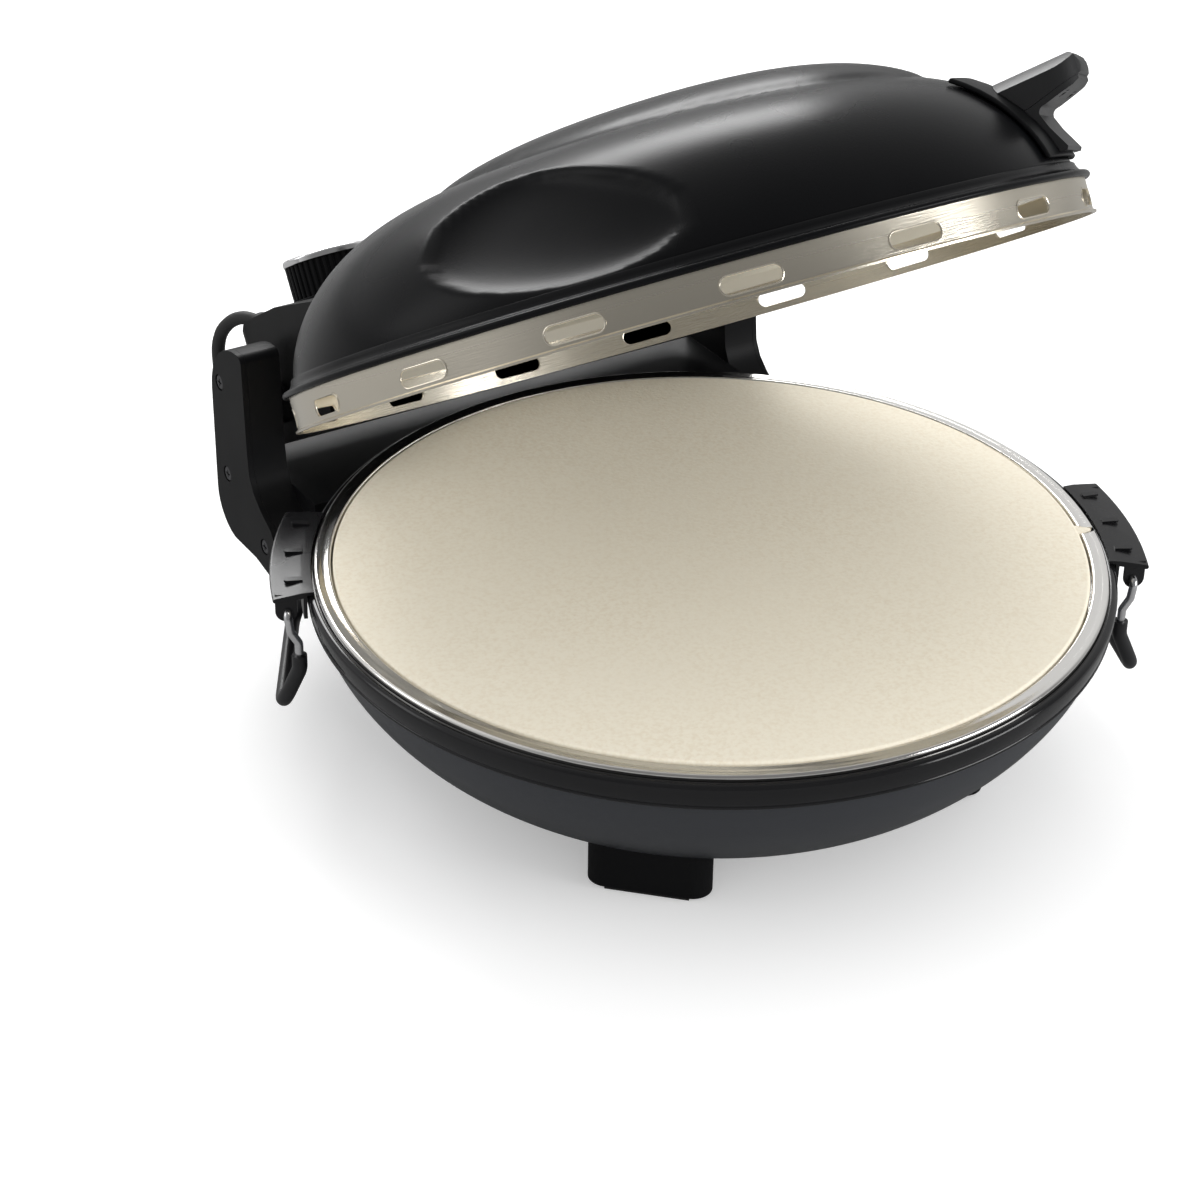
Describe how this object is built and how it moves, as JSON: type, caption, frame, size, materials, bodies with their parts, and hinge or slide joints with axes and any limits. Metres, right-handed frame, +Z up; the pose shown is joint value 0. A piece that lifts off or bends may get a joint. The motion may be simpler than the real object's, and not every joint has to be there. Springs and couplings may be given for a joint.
{
  "type": "electric pizza oven with hinged lid",
  "caption": "Round countertop pizza oven: a bowl base with a baking stone in a steel tray, a domed lid with a slotted band on a wide rear hinge, a knob and wire carrying bails",
  "frame": {"origin": "on the table, under the centre of the baking stone", "axes": "+Z up, +Y towards the hinge at the back, +X to the right when seen from the front"},
  "size_m": [0.3509, 0.398, 0.3057],
  "materials": {
    "pan_black": "satin",
    "lid_black": "satin",
    "gloss_black": "gloss",
    "steel": "brushed",
    "reflector": "satin",
    "element": "matte",
    "stone": "matte",
    "black_plastic": "matte",
    "lid_plastic": "satin",
    "rubber": "matte",
    "screw_steel": "satin",
    "dark_screw": "satin",
    "wire_steel": "satin",
    "ceramic": "satin",
    "chrome": "polished"
  },
  "bodies": {
    "base": {"base_pan": "pan_black", "base_rim": "gloss_black", "stone_tray": "steel", "pizza_stone": "stone", "lower_reflector": "reflector", "lower_element": "element", "lower_element_clips": "reflector", "foot_front_left": "black_plastic", "foot_front_right": "black_plastic", "foot_rear_left": "black_plastic", "foot_rear_right": "black_plastic", "foot_pads": "rubber", "foot_screws": "screw_steel", "hinge_box": "black_plastic", "side_cover_left": "black_plastic", "side_cover_right": "black_plastic", "side_cover_screws": "dark_screw", "box_bottom_cover": "black_plastic", "bottom_cover_screws": "screw_steel", "hinge_pin_left": "screw_steel", "hinge_pin_right": "screw_steel", "box_cable_gland": "rubber", "link_cable": "rubber", "terminal_block": "ceramic", "bracket_left": "pan_black", "bracket_right": "pan_black", "bracket_rivets": "dark_screw"},
    "lid": {"lid_shell": "lid_black", "lid_rim": "lid_black", "lid_band": "steel", "lid_reflector": "reflector", "upper_element": "element", "upper_element_clips": "reflector", "rear_housing": "lid_plastic", "hinge_bush_left": "black_plastic", "hinge_bush_right": "black_plastic", "lid_cable_gland": "rubber", "thermostat": "screw_steel", "handle_plate": "lid_plastic", "handle_grip_top": "lid_plastic", "handle_grip_bottom": "lid_plastic", "handle_screws": "screw_steel"},
    "knob": {"temperature_knob": "black_plastic", "knob_cap": "chrome", "knob_shaft": "screw_steel"},
    "bail_left": {"bail_left": "wire_steel", "bail_grip_left": "black_plastic"},
    "bail_right": {"bail_right": "wire_steel", "bail_grip_right": "black_plastic"}
  },
  "joints": [
    {"name": "lid_hinge", "type": "hinge", "parent": "base", "child": "lid", "pos_m": [0, 0.174, 0.108], "axis": [-1, 0, 0], "range_deg": [-32, 33], "deforming": ["link_cable"]},
    {"name": "knob_turn", "type": "hinge", "parent": "lid", "child": "knob", "pos_m": [-0.066, 0.20177, 0.13734], "axis": [0, 0.5299, 0.848], "range_deg": [-270, 0]},
    {"name": "bail_left_swing", "type": "hinge", "parent": "base", "child": "bail_left", "pos_m": [-0.14777, 0.08704, 0.08], "axis": [0.5075, 0.8616, 0], "range_deg": [-3, 90]},
    {"name": "bail_right_swing", "type": "hinge", "parent": "base", "child": "bail_right", "pos_m": [0.15856, -0.06535, 0.08], "axis": [-0.3811, -0.9245, 0], "range_deg": [-3, 90]}
  ]
}
